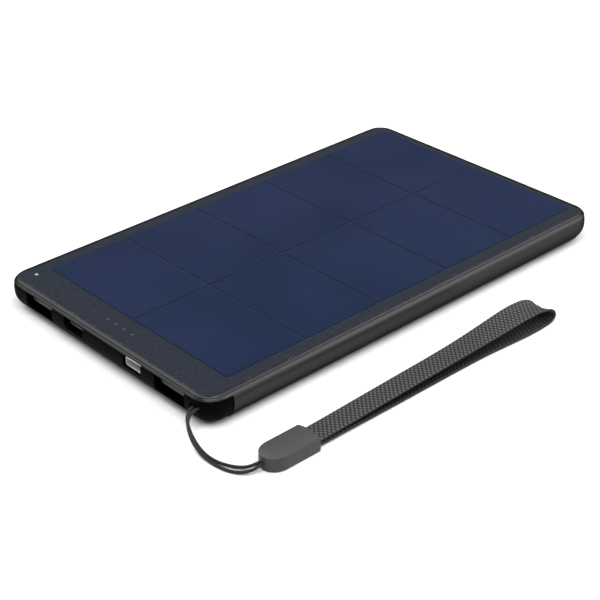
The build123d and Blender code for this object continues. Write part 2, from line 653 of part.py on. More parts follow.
def arc_radii(points):
    """For each corner of a route, the arc that takes 0.45 of the shorter run beside it."""
    radii = []
    for before, corner, after in zip(points, points[1:], points[2:]):
        run = min(math.dist(before, corner), math.dist(corner, after))
        radii.append(0.45 * run / math.tan(half_turn(before, corner, after)))
    return radii


def report_line(name, radii, length, volume, section_area):
    """Print a swept line's bend radii and length, and the share that its volume is of a straight one's."""
    share = volume / (section_area * length)
    print(name, "radii", [round(r, 1) for r in radii], "length", round(length, 1), "share", round(share, 3))


def make_strap():
    """The lanyard's pin and cord, and the wrist strap."""
    keep("lanyard_pin", upright_rod(PIN_X, POCKET_Y, PIN_Z[0], PIN_Z[1], PIN_R))
    radii = arc_radii(CORD_ROUTE)
    path = FilletPolyline(*CORD_ROUTE, radius=radii)
    cord = sweep(Plane(origin=path @ 0, z_dir=path % 0) * Circle(CORD_D / 2), path=path)
    keep("lanyard_cord", cord)
    report_line("cord", radii, path.length, cord.volume, math.pi * (CORD_D / 2) ** 2)

    route = [(x, STRAP_Y, z) for x, z in STRAP_ROUTE]
    radii = arc_radii(route)
    path = FilletPolyline(*route, radius=radii)
    section = Plane(origin=path @ 0, x_dir=(0, 1, 0), z_dir=path % 0) * Rectangle(STRAP_W, STRAP_T)
    strap = sweep(section, path=path)
    keep("wrist_strap", strap)
    report_line("strap", radii, path.length, strap.volume, STRAP_W * STRAP_T)


def make_ferrule():
    """The moulded joiner, hollowed for the strap's ends, the crimp and the cord, and the crimp inside it."""
    nose, tail = FERRULE_X
    outline = Pos((nose + tail) / 2, FERRULE_Y, 0) * Rectangle(tail - nose, FERRULE_W)
    outline = fillet(outline.vertices().group_by(Axis.X)[0], FERRULE_NOSE_R)
    ferrule = extrude(outline, amount=FERRULE_H)
    rounded = ferrule.edges().group_by(Axis.Z)[-1].sort_by(Axis.X)[:-1]
    ferrule = fillet(rounded, FERRULE_ROUND)
    slot_end = tail - STRAP_SLOT[0]
    seat_end = slot_end - CRIMP_SEAT[0]
    ferrule -= block((slot_end, tail + 1), about(STRAP_Y, STRAP_W + 0.4), STRAP_SLOT[1])
    ferrule -= block((seat_end, slot_end + 0.1), about(FERRULE_Y, CRIMP_SEAT[1]), CRIMP_SEAT[2])
    ferrule -= block((nose - 1, seat_end + 0.1), about(FERRULE_Y, CORD_HOLE[0]), CORD_HOLE[1])
    keep("ferrule", ferrule)
    crimp_z = (CRIMP_SEAT[2][0] + CRIMP_CLEARANCE, CRIMP_SEAT[2][1] - CRIMP_CLEARANCE)
    crimp_w = CRIMP_SEAT[1] - 2 * CRIMP_CLEARANCE
    keep("cord_crimp", block((seat_end, slot_end - 0.4), about(FERRULE_Y, crimp_w), crimp_z))


keep("body_sleeve", make_sleeve())
keep("port_end_cap", make_port_cap())
keep("far_end_cap", make_cap(1, FAR_SEAM))
make_laminate()
make_battery()
make_board()
make_sockets()
make_key()
make_leads()
make_strap()
make_ferrule()
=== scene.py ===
import json

import bpy
import numpy as np
from mathutils import Matrix, Vector


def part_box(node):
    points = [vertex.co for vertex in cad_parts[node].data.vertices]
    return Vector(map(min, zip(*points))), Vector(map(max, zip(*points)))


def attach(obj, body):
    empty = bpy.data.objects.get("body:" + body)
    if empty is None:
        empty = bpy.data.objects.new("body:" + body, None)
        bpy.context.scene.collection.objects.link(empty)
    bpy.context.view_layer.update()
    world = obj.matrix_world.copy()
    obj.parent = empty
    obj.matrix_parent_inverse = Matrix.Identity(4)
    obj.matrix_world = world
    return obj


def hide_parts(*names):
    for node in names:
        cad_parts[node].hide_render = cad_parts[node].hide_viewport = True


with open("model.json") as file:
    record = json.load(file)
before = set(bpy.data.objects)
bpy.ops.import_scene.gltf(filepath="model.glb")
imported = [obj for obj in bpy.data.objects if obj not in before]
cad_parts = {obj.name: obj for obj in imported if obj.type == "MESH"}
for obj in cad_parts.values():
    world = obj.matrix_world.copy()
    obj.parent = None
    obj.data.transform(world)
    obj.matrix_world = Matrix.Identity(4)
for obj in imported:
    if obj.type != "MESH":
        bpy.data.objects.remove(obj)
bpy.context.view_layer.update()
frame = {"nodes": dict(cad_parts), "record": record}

# A solar phone charger with a wrist strap, lying on a pale table. X runs along the body away from its
# sockets, and the solar cells face +Z. The new pieces are drawn in millimetres and become meshes in metres.
# The camera, the lamps, the table and the declared lengths are in metres.

MM = 0.001
NODES = frame["nodes"]
SCENE = bpy.context.scene
SCENE.view_settings.view_transform = "Standard"

# ---------------------------------------------------------------- camera

CAMERA_PLACE = Vector((-0.28691, -0.32533, 0.24282))
CAMERA_RIGHT = Vector((0.7440, -0.6677, -0.0259))
CAMERA_BACK = Vector((-0.5667, -0.6510, 0.5050))
CAMERA_LENS = 94.73
SENSOR_WIDTH = 36.0


def make_camera():
    """A camera whose axes are a right vector, a back vector, and their cross product as up."""
    data = bpy.data.cameras.new("camera")
    data.lens = CAMERA_LENS
    data.sensor_width = SENSOR_WIDTH
    camera = bpy.data.objects.new("camera", data)
    SCENE.collection.objects.link(camera)
    back = CAMERA_BACK.normalized()
    right = (CAMERA_RIGHT - back * CAMERA_RIGHT.dot(back)).normalized()
    turn = Matrix((right, back.cross(right), back)).transposed()
    camera.matrix_world = Matrix.Translation(CAMERA_PLACE) @ turn.to_4x4()
    SCENE.camera = camera


make_camera()

# ---------------------------------------------------------------- lines and meshes

# The cord's control points, in mm: out of the ferrule, up to the pocket, round the pin and back
CORD_ROUTE = [
    (-75.0, -70.65, 2.3), (-79.9, -70.5, 2.3), (-83.3, -69.2, 0.8), (-86.1, -65.5, 0.5),
    (-87.2, -60.0, 0.5), (-87.1, -54.4, 0.8), (-86.2, -49.2, 2.9), (-84.0, -45.2, 5.1),
    (-80.9, -43.7, 6.3), (-76.4, -44.45, 6.3), (-76.4, -41.75, 6.3), (-80.5, -42.5, 6.3),
    (-83.4, -44.1, 5.2), (-85.3, -48.4, 3.0), (-86.2, -53.8, 0.9), (-86.1, -58.9, 0.5),
    (-84.6, -63.6, 0.5), (-82.3, -67.2, 0.8), (-79.9, -69.5, 2.3), (-75.0, -69.55, 2.3),
]
CORD_D = 0.9

# The strap's control points in the XZ plane, in mm: the upper layer, the fold, then the layer on the table
STRAP_ROUTE = [
    (-69.5, 2.15), (-57.0, 2.3), (-34.0, 3.2), (-8.0, 3.95), (9.0, 5.1), (19.5, 6.2), (26.4, 6.2),
    (30.0, 4.2), (29.8, 1.3), (25.0, 0.46), (9.0, 0.62), (-14.0, 0.46), (-38.0, 0.62), (-54.5, 0.94),
    (-66.2, 1.05),
]
STRAP_Y = -69.8
STRAP_W = 7.2
STRAP_T = 0.9

# How far the lowest points stay above the table, in mm
TABLE_GAP = 0.02
# The spline's segments between control points, and the shortest step kept between its points, in mm
SPLINE_DETAIL = 40
SHORTEST_STEP = 1e-6


def smooth_line(name, route, step):
    """Points in mm along the order 3 NURBS spline that has the route as its control points, spaced evenly
    by step: the spline is drawn finely, then read back by its length."""
    curve = bpy.data.curves.new(name, "CURVE")
    curve.dimensions = "3D"
    spline = curve.splines.new("NURBS")
    spline.points.add(len(route) - 1)
    for point, place in zip(spline.points, route):
        point.co = (place[0] * MM, place[1] * MM, place[2] * MM, 1.0)
    spline.order_u = 3
    spline.use_endpoint_u = True
    spline.resolution_u = SPLINE_DETAIL
    drawn = bpy.data.objects.new(name, curve)
    SCENE.collection.objects.link(drawn)
    mesh = bpy.data.meshes.new_from_object(drawn)
    line = np.array([v.co for v in mesh.vertices], float) / MM
    bpy.data.objects.remove(drawn)
    bpy.data.meshes.remove(mesh)
    bpy.data.curves.remove(curve)
    gaps = np.linalg.norm(np.diff(line, axis=0), axis=1)
    line = line[np.concatenate([[True], gaps > SHORTEST_STEP])]
    run = np.concatenate([[0], np.cumsum(np.linalg.norm(np.diff(line, axis=0), axis=1))])
    stations = np.linspace(0, run[-1], int(round(run[-1] / step)) + 1)
    return np.stack([np.interp(stations, run, line[:, i]) for i in range(3)], axis=1), stations


def unit(vectors):
    """Each row divided by its length."""
    return vectors / np.linalg.norm(vectors, axis=-1, keepdims=True)


def tangents(line):
    """The direction of a line at each of its points, from the points either side."""
    return unit(np.gradient(line, axis=0))


def carried_normals(line):
    """A normal at each point of a line that turns no more than it has to: each is the one before with its
    part along the new direction taken out."""
    along = tangents(line)
    normals = np.zeros_like(line)
    normals[0] = unit(np.cross(along[0], (0.0, 0.0, 1.0)))
    for i in range(1, len(line)):
        normals[i] = unit(normals[i - 1] - along[i] * (normals[i - 1] @ along[i]))
    return normals


def rings_mesh(name, rings, weave=None, wrap=0.0, crown=None):
    """A closed mesh through rings of points, an array of rings x points x 3 in mm: a quad between each pair
    of neighbours, and a face over each end ring. weave gives each point's place in the pattern, in mm along
    and across, and wrap is the pattern's width where a ring closes on itself. crown is kept as a value at
    each point."""
    count, around = rings.shape[:2]
    row = np.arange(around)
    first = (np.arange(count - 1) * around)[:, None]
    a, b = first + row, first + (row + 1) % around
    quads = np.stack([a, b, b + around, a + around], axis=2).reshape(-1, 4)
    ends = [row[::-1].tolist(), ((count - 1) * around + row).tolist()]
    mesh = bpy.data.meshes.new(name)
    mesh.from_pydata((rings.reshape(-1, 3) * MM).tolist(), [], quads.tolist() + ends)
    if weave is not None:
        loops = np.zeros(len(mesh.loops), np.int32)
        mesh.loops.foreach_get("vertex_index", loops)
        places = weave.reshape(-1, 2)[loops]
        closing = np.nonzero(quads[:, 0] % around == around - 1)[0]
        places[(closing[:, None] * 4 + np.array([1, 2])).ravel(), 1] += wrap
        layer = mesh.uv_layers.new(name="weave")
        layer.data.foreach_set("uv", places.astype(np.float32).ravel())
    if crown is not None:
        values = mesh.attributes.new("crown", "FLOAT", "POINT")
        values.data.foreach_set("value", crown.astype(np.float32).ravel())
    mesh.validate()
    mesh.update()
    return mesh


def show(name, mesh, material, stands_for):
    """Adds a mesh as a smooth piece of the object that rides on the body and stands for CAD nodes."""
    piece = bpy.data.objects.new(name, mesh)
    SCENE.collection.objects.link(piece)
    mesh.materials.append(material)
    mesh.polygons.foreach_set("use_smooth", np.ones(len(mesh.polygons), bool))
    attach(piece, "body")
    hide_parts(*stands_for)
    return piece


# ---------------------------------------------------------------- materials


def linear(code):
    """The linear colour of an sRGB hex value."""
    parts = np.array([int(code[i : i + 2], 16) for i in (1, 3, 5)]) / 255.0
    parts = np.where(parts <= 0.04045, parts / 12.92, ((parts + 0.055) / 1.055) ** 2.4)
    return (*parts.tolist(), 1.0)


def add(tree, kind, inputs=None, **settings):
    """Adds a shader node with its settings, and sets or links its inputs."""
    made = tree.nodes.new(kind)
    for key, value in settings.items():
        setattr(made, key, value)
    for key, value in (inputs or {}).items():
        if isinstance(value, bpy.types.NodeSocket):
            tree.links.new(value, made.inputs[key])
        else:
            made.inputs[key].default_value = value
    return made


def new_material(name):
    """An empty material, with its tree, its output and the object coordinates in metres."""
    material = bpy.data.materials.new(name)
    material.use_nodes = True
    tree = material.node_tree
    tree.nodes.clear()
    output = add(tree, "ShaderNodeOutputMaterial")
    place = add(tree, "ShaderNodeTexCoord").outputs["Object"]
    return material, tree, output, place


def two_stops(tree, value, low, dark, high, light):
    """A colour that goes from dark to light as a value goes from low to high."""
    ramp = add(tree, "ShaderNodeValToRGB", {"Fac": value})
    stops = ramp.color_ramp.elements
    stops[0].position, stops[0].color = low, linear(dark)
    stops[1].position, stops[1].color = high, linear(light)
    return ramp.outputs["Color"]


# The share of a noise's range that goes from one colour to the other
GRAIN_LOW = 0.35
GRAIN_HIGH = 0.65


def grained(name, dark, light, grain, metallic, roughness, relief, **surface):
    """A finish with a fine grain: two close colours, the roughness and the relief all follow one noise
    whose lumps are grain mm wide and relief mm high."""
    spread = 0.06
    material, tree, output, place = new_material(name)
    noise = add(tree, "ShaderNodeTexNoise", {"Vector": place, "Scale": 1 / (grain * MM), "Detail": 3.0})
    lump = noise.outputs["Fac"]
    rough = add(tree, "ShaderNodeMapRange", {
        "Value": lump, "To Min": roughness - spread, "To Max": roughness + spread})
    bump = add(tree, "ShaderNodeBump", {"Height": lump, "Distance": relief * MM, "Strength": 1.0})
    shader = add(tree, "ShaderNodeBsdfPrincipled", {
        "Base Color": two_stops(tree, lump, GRAIN_LOW, dark, GRAIN_HIGH, light), "Metallic": metallic,
        "Roughness": rough.outputs["Result"], "Normal": bump.outputs["Normal"], **surface})
    tree.links.new(shader.outputs["BSDF"], output.inputs["Surface"])
    return material


def mixed(tree, factor, first, second):
    """The colour between two, by a factor."""
    return add(tree, "ShaderNodeMix", {"Factor": factor, "A": first, "B": second},
               data_type="RGBA").outputs["Result"]


def second_tone(material, dark, light, mask):
    """Gives a grained finish a second pair of colours where a mask is 1. The mask is a function of the
    material's tree and the point's x, y and z."""
    tree = material.node_tree
    kinds = {node.type: node for node in tree.nodes}
    base = kinds["BSDF_PRINCIPLED"].inputs["Base Color"]
    place = add(tree, "ShaderNodeSeparateXYZ", {"Vector": kinds["TEX_COORD"].outputs["Object"]})
    second = mixed(tree, kinds["TEX_NOISE"].outputs["Fac"], linear(dark), linear(light))
    both = mixed(tree, mask(tree, place.outputs), base.links[0].from_socket, second)
    tree.links.new(both, base)


CELL_BOXES = [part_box(name) for name in NODES if name.startswith("solar_cell_")]
# How far the core stays inside the outer edge of the cells, in metres
CORE_INSET = 0.0004
CORE_LOW = [min(box[0][i] for box in CELL_BOXES) + CORE_INSET for i in (0, 1)]
CORE_HIGH = [max(box[1][i] for box in CELL_BOXES) - CORE_INSET for i in (0, 1)]


def inside_core(tree, place):
    """1 in the rectangle that the cells cover: a step in the distance from its middle along x, times one
    in the distance along y."""
    steps = []
    for axis, low, high in zip("XY", CORE_LOW, CORE_HIGH):
        reach = {0: place[axis], 1: (low + high) / 2, 2: (high - low) / 2}
        steps.append(add(tree, "ShaderNodeMath", reach, operation="COMPARE").outputs["Value"])
    return add(tree, "ShaderNodeMath", {0: steps[0], 1: steps[1]}, operation="MULTIPLY").outputs["Value"]


# The ferrule's upright sides end at this height, and its top rises from there.
# Its top is painted paler, as painted light from above, and that paint's edge is this soft.
FERRULE_SIDE = 4.3
PAINTED_LIGHT_EDGE = 0.1


def painted_top_light_mask(tree, place):
    """1 on the ferrule's top face, where it is painted paler as painted light from above: a smooth step in z
    about the top of its sides.
    """
    step = add(tree, "ShaderNodeMapRange", {
        "Value": place["Z"], "From Min": (FERRULE_SIDE - PAINTED_LIGHT_EDGE) * MM,
        "From Max": (FERRULE_SIDE + PAINTED_LIGHT_EDGE) * MM}, interpolation_type="SMOOTHSTEP")
    return step.outputs["Result"]


def matt(level):
    """The setting that dulls a finish's mirror to a level."""
    return {"Specular IOR Level": level}


# Black anodised aluminium, extruded and bead blasted: a satin skin that darkens at a slant, because the dyed
# film soaks up light. Its grit is drawn at 0.3 mm so that it shows.
ANODISED = grained("anodised_aluminium", "#3A3A3A", "#404040", 0.3, 1.0, 0.38, 0.003,
                   **{"Specular Tint": linear("#9C9C9C")})
# Black ABS, moulded with a fine spark texture: flat black, with hardly a sheen
CAP_ABS = grained("moulded_black_abs", "#040404", "#070707", 0.35, 0.0, 0.6, 0.006, **matt(0.02))
# Black ABS, moulded smooth: a soft highlight that makes the key stand out from the housing
KEY_ABS = grained("moulded_key_abs", "#101011", "#151516", 0.3, 0.0, 0.42, 0.004)
# Glass-fibre board with a printed dark border: flat dark grey round the cells, bluer between them
BACKBOARD = grained("black_backboard", "#2D3036", "#36393F", 1.2, 0.0, 0.6, 0.001, **matt(0.0))
second_tone(BACKBOARD, "#273349", "#2C384E", inside_core)
# Soft-touch plastic, moulded: matt and dark, painted darker on its sides and paler on its top face, as
# painted shade and painted light from above
FERRULE_PLASTIC = grained("soft_touch_ferrule", "#232324", "#2C2C2D", 0.25, 0.0, 0.5, 0.004)
# Painted light: the top face gets the paler pair of colours
second_tone(FERRULE_PLASTIC, "#39393A", "#434344", painted_top_light_mask)

# The rest lies inside the body or in its sockets
INNER = {
    # Lacquered ribbon the colour of the board's core, so that the lines between cells look even
    "copper_ribbon": grained("lacquered_copper", "#273349", "#2C384E", 0.8, 0.0, 0.6, 0.001, **matt(0.0)),
    # Tape and foam: flat and dark
    "adhesive": grained("black_bonding_tape", "#101010", "#161616", 1.5, 0.0, 0.7, 0.004),
    "foam": grained("closed_cell_foam", "#232323", "#303030", 0.6, 0.0, 0.9, 0.05),
    # Pressed foil: bright, with shallow 4 mm dents
    "pouch_foil": grained("pressed_pouch_foil", "#B9BBC0", "#C8CACE", 4.0, 1.0, 0.3, 0.03),
    # Solder mask over the board: deep green with a satin sheen
    "circuit_board": grained("solder_masked_board", "#0F3A20", "#154A2A", 0.9, 0.0, 0.38, 0.006),
    # Rolled, drawn, pressed and plated metals: grey or gold, with a blurred mirror
    "nickel": grained("rolled_nickel_tab", "#B4AFA6", "#C2BDB4", 0.5, 1.0, 0.32, 0.002),
    "screw_steel": grained("zinc_plated_steel", "#96979B", "#A8A9AD", 0.4, 1.0, 0.34, 0.002),
    "pin_steel": grained("drawn_steel_pin", "#9C9DA0", "#ACADB0", 0.3, 1.0, 0.3, 0.001),
    "crimp_steel": grained("pressed_steel_crimp", "#9C9DA0", "#ACADB0", 0.4, 1.0, 0.34, 0.003),
    "contact_gold": grained("gold_plated_contact", "#C9A24C", "#D8B565", 0.3, 1.0, 0.28, 0.001),
    # Matt tin, which shows bright in its mouth, and black nickel, which leaves a mouth dark
    "socket_steel": grained("tin_plated_shell", "#E8E9EA", "#F0F0F1", 0.6, 1.0, 0.6, 0.001),
    "dark_socket_steel": grained("black_nickel_shell", "#1A1A1B", "#212122", 0.6, 1.0, 0.35, 0.001),
    # Moulded nylon and epoxy: near black with a dull sheen, and clear epoxy over a lamp
    "socket_plastic": grained("moulded_socket_nylon", "#0B0B0B", "#101010", 0.3, 0.0, 0.5, 0.003),
    "switch_plastic": grained("moulded_switch_nylon", "#1E1E1E", "#262626", 0.3, 0.0, 0.5, 0.003),
    "chip_plastic": grained("moulded_chip_epoxy", "#1B1B1B", "#232323", 0.25, 0.0, 0.55, 0.004),
    "led_white": grained("clear_led_epoxy", "#E6E6DE", "#F2F2EA", 0.5, 0.0, 0.15, 0.001),
    # Pressed ferrite and fired ceramic: dry and grainy
    "ferrite": grained("pressed_ferrite", "#3C3C3D", "#4A4A4B", 0.3, 0.0, 0.6, 0.01),
    "ceramic_part": grained("fired_ceramic", "#A1835C", "#B19470", 0.3, 0.0, 0.5, 0.003),
    # Extruded silicone: dark red with a soft sheen
    "wire_insulation": grained("extruded_silicone", "#7E1414", "#8E1B1B", 1.0, 0.0, 0.45, 0.004),
}

# The cell's printed fingers repeat at this step, its hue drifts over this width, in mm
FINGER_STEP = 1.4
CLOUD_SIZE = 30
# A wave texture has this many radians to one unit of its coordinate times its scale
WAVE_RADIANS = 20


def silicon_cell():
    """Dark blue monocrystalline silicon under its blue antireflective coat: fine screen-printed fingers run
    along the body, drawn coarser than they are so that they show, over slow cloudy changes of hue."""
    material, tree, output, place = new_material("monocrystalline_silicon")
    cloud = add(tree, "ShaderNodeTexNoise", {"Vector": place, "Scale": 1 / (CLOUD_SIZE * MM), "Detail": 2.0})
    hue = two_stops(tree, cloud.outputs["Fac"], GRAIN_LOW, "#1B2842", GRAIN_HIGH, "#222E49")
    turns = 2 * np.pi / (FINGER_STEP * MM) / WAVE_RADIANS
    fingers = add(tree, "ShaderNodeTexWave", {"Vector": place, "Scale": turns, "Distortion": 0.0},
                  bands_direction="Y")
    bump = add(tree, "ShaderNodeBump", {"Height": fingers.outputs["Fac"], "Distance": 0.002 * MM})
    shader = add(tree, "ShaderNodeBsdfPrincipled", {
        "Base Color": hue, "Roughness": 0.5, "Specular IOR Level": 0.08, "Normal": bump.outputs["Normal"]})
    tree.links.new(shader.outputs["BSDF"], output.inputs["Surface"])
    return material


# Wiping leaves patches this wide on the clear sheet, in mm
WIPE_SIZE = 22


def clear_layer(name, tint):
    """A clear layer that lets everything through, and its tree, output, place and the shader for that."""
    material, tree, output, place = new_material(name)
    through = add(tree, "ShaderNodeBsdfTransparent", {"Color": linear(tint)}).outputs["BSDF"]
    tree.links.new(through, output.inputs["Surface"])
    return material, tree, output, place, through


def front_glass():
    """The clear plastic front sheet, rolled and polished: its front faces mirror by their Fresnel share,
    a little blurred in patches where it has been wiped, and the rest of the light goes through."""
    material, tree, output, place, through = clear_layer("clear_front_sheet", "#F4F6FA")
    wipe = add(tree, "ShaderNodeTexNoise", {"Vector": place, "Scale": 1 / (WIPE_SIZE * MM), "Detail": 4.0})
    rough = add(tree, "ShaderNodeMapRange", {"Value": wipe.outputs["Fac"], "To Min": 0.05, "To Max": 0.11})
    mirror = add(tree, "ShaderNodeBsdfAnisotropic", {
        "Color": linear("#FFFFFF"), "Roughness": rough.outputs["Result"]})
    share = add(tree, "ShaderNodeFresnel", {"IOR": 1.38})
    back = add(tree, "ShaderNodeNewGeometry").outputs["Backfacing"]
    front = add(tree, "ShaderNodeMath", {0: 1.0, 1: back}, operation="SUBTRACT")
    factor = add(tree, "ShaderNodeMath", {0: share.outputs["Fac"], 1: front.outputs["Value"]},
                 operation="MULTIPLY")
    surface = add(tree, "ShaderNodeMixShader", {
        0: factor.outputs["Value"], 1: through, 2: mirror.outputs["BSDF"]})
    tree.links.new(surface.outputs["Shader"], output.inputs["Surface"])
    return material


# A lens varies in brightness over patches this wide, in mm, by this share either way
LENS_PATCH = 0.8
LENS_SPREAD = 0.2


def glowing_lens(name, colour, strength):
    """Clear acrylic, polished, over a small lamp: it glows a little, unevenly."""
    material, tree, output, place = new_material(name)
    noise = add(tree, "ShaderNodeTexNoise", {"Vector": place, "Scale": 1 / (LENS_PATCH * MM)})
    glow = add(tree, "ShaderNodeMapRange", {
        "Value": noise.outputs["Fac"], "To Min": (1 - LENS_SPREAD) * strength,
        "To Max": (1 + LENS_SPREAD) * strength})
    shader = add(tree, "ShaderNodeBsdfPrincipled", {
        "Base Color": linear(colour), "Roughness": 0.3, "Emission Color": linear(colour),
        "Emission Strength": glow.outputs["Result"]})
    tree.links.new(shader.outputs["BSDF"], output.inputs["Surface"])
    return material


# Filaments in a yarn, in cycles of noise to a millimetre along and across it, and their share of the shade
FILAMENTS = (1.2, 9.0, 1.0)
FILAMENT_SHARE = 0.3
# The heights in a yarn at which its colour starts to pale and is palest: painted light on the crowns, painted
# shade in the dips
YARN_LOW = 0.25
YARN_HIGH = 1.0


def woven(name, dark, light, roughness, relief):
    """Polyester yarn: each yarn is painted lighter along its crown and darker where it dips under the next,
    as painted light and shade of the weave's relief, with fine filaments along it. It follows the piece's
    own weave map, in mm along and across."""
    material, tree, output, _ = new_material(name)
    map_place = add(tree, "ShaderNodeUVMap", uv_map="weave").outputs["UV"]
    fibre = add(tree, "ShaderNodeMapping", {"Vector": map_place, "Scale": FILAMENTS})
    noise = add(tree, "ShaderNodeTexNoise", {
        "Vector": fibre.outputs["Vector"], "Scale": 1.0, "Detail": 3.0})
    # A yarn's height pales its colour: painted light on the crowns, painted shade in the dips
    crown = add(tree, "ShaderNodeAttribute", attribute_name="crown").outputs["Fac"]
    total = add(tree, "ShaderNodeMath", {0: noise.outputs["Fac"], 1: FILAMENT_SHARE, 2: crown},
                operation="MULTIPLY_ADD")
    bump = add(tree, "ShaderNodeBump", {"Height": noise.outputs["Fac"], "Distance": relief * MM})
    shader = add(tree, "ShaderNodeBsdfPrincipled", {
        "Base Color": two_stops(tree, total.outputs["Value"], YARN_LOW, dark, YARN_HIGH, light),
        "Roughness": roughness, "Normal": bump.outputs["Normal"], "Specular IOR Level": 0.35,
        "Sheen Weight": 0.1, "Sheen Roughness": 0.4, "Sheen Tint": linear("#8A8A90")})
    tree.links.new(shader.outputs["BSDF"], output.inputs["Surface"])
    return material


CELL = silicon_cell()
COVER = front_glass()
# Laminated clear film: it only tints what lies under it
ENCAPSULANT = clear_layer("clear_encapsulant", "#FAFAFC")[0]
CHARGE_LENS = glowing_lens("green_charge_lens", "#8FCFA4", 0.3)
LEVEL_LENS = glowing_lens("pale_level_lens", "#4C4D54", 0.02)
# Braided cord and woven webbing: black yarns, painted paler along their crowns as painted light, palest on
# the webbing
CORD_YARN = woven("braided_polyester_cord", "#050505", "#1B1B1C", 0.6, 0.01)
STRAP_YARN = woven("woven_polyester_webbing", "#060607", "#525255", 0.65, 0.02)

# ---------------------------------------------------------------- cord

# The mesh's step along the cord and its points round it. The braid's repeat, its yarns each way, their height
# in mm, the height that the cord's own radius stands for, and how full a yarn is.
CORD_STEP = 0.11
CORD_AROUND = 24
BRAID_PITCH = 2.4
BRAID_YARNS = 4
BRAID_RELIEF = 0.06
BRAID_MIDDLE = 0.75
CROWN_POWER = 0.8


def braided_cord():
    """A tube along the cord's line. Its radius falls by the braid's relief between yarns that wind both
    ways: each yarn's height is a cosine of the angle plus or minus the turns run so far."""
    line, run = smooth_line("cord_line", CORD_ROUTE, CORD_STEP)
    along, side = tangents(line), carried_normals(line)
    up = np.cross(along, side)
    angle = np.linspace(0, 2 * np.pi, CORD_AROUND, endpoint=False)
    turn = 4 * np.pi * run[:, None] / BRAID_PITCH
    right = 0.5 + 0.5 * np.cos(BRAID_YARNS * angle + turn)
    left = 0.5 + 0.5 * np.cos(BRAID_YARNS * angle - turn)
    crown = np.maximum(right, left) ** CROWN_POWER
    radius = CORD_D / 2 + BRAID_RELIEF * (crown - BRAID_MIDDLE)
    spokes = np.cos(angle)[:, None] * side[:, None] + np.sin(angle)[:, None] * up[:, None]
    rings = line[:, None] + radius[..., None] * spokes
    rings[..., 2] = np.maximum(rings[..., 2], TABLE_GAP)
    weave = np.stack(np.broadcast_arrays(run[:, None], angle[None] * CORD_D / 2), axis=2)
    return rings_mesh("lanyard_cord_braid", rings, weave, np.pi * CORD_D, crown), line


# ---------------------------------------------------------------- wrist strap

# The mesh's step along the strap, and its points across a face and round an edge
WEAVE_STEP = 0.2
FACE_POINTS = 45
EDGE_POINTS = 5
# The weave's repeat along a row, the width of a row and the height of a yarn, in mm
WEAVE_ALONG = 1.45
WEAVE_ACROSS = 0.9
WEAVE_RELIEF = 0.16
WEAVE_MIDDLE = 0.45
ARCH_POWER = 0.5
# How sharply the relief ends at the edge of a face
FACE_POWER = 4
# The width of the strap's rounded edge, and how far its faces lie in under the yarns
STRAP_EDGE = 0.4
STRAP_INSET = 0.06
# The loop's inner faces are painted darker, as painted shade inside the fold: their paleness is this share of
# the outer faces'
LOOP_SHADE_SHARE = 0.34

# How the strap leaves a plain ribbon near its fold. Each is a size, the place of its peak in mm past the
# fold along the strap, and its reach before and after that place.
SKEW, SKEW_AT, SKEW_REACH = 0.5, 0.0, (14.0, 26.0)
DROOP, DROOP_AT, DROOP_REACH = 0.36, -7.0, (20.0, 9.0)
SAG, SAG_AT, SAG_REACH = 1.1, -4.0, (7.0, 7.0)
BULGE, BULGE_AT, BULGE_REACH = 1.8, 9.0, (16.0, 16.0)


def strap_section():
    """The ribbon's section as points across and through it, in mm, from one edge over the top and back
    under the bottom: two flat faces joined by half ellipses."""
    half_w, half_t = STRAP_W / 2, STRAP_T / 2 - STRAP_INSET
    flat = half_w - STRAP_EDGE
    face = np.linspace(-flat, flat, FACE_POINTS)
    bend = np.linspace(np.pi / 2, -np.pi / 2, EDGE_POINTS + 2)[1:-1]
    back = np.stack([flat + STRAP_EDGE * np.cos(bend), half_t * np.sin(bend)], axis=1)
    top = np.stack([face, np.full(FACE_POINTS, half_t)], axis=1)
    return np.concatenate([top, back, -top, -back])


def hump(past, middle, reach):
    """A bell over the distance past the fold: one at the middle, and 1/e at the reach before or after it."""
    return np.exp(-(((past - middle) / np.where(past < middle, *reach)) ** 2))


def weave_crowns(run, v, n):
    """How far each point stands up in its yarn, from 0 to 1: the yarns are rows along the strap, each half
    a step out from its neighbours. A row rises as a cosine along it, times an arch across it."""
    row = np.floor(v / WEAVE_ACROSS)
    phase = 2 * np.pi * run[:, None] / WEAVE_ALONG + np.pi * row + np.where(n > 0, 0, np.pi / 2)
    arch = np.abs(np.sin(np.pi * v / WEAVE_ACROSS)) ** ARCH_POWER
    return (0.5 + 0.5 * np.cos(phase)) ** CROWN_POWER * arch


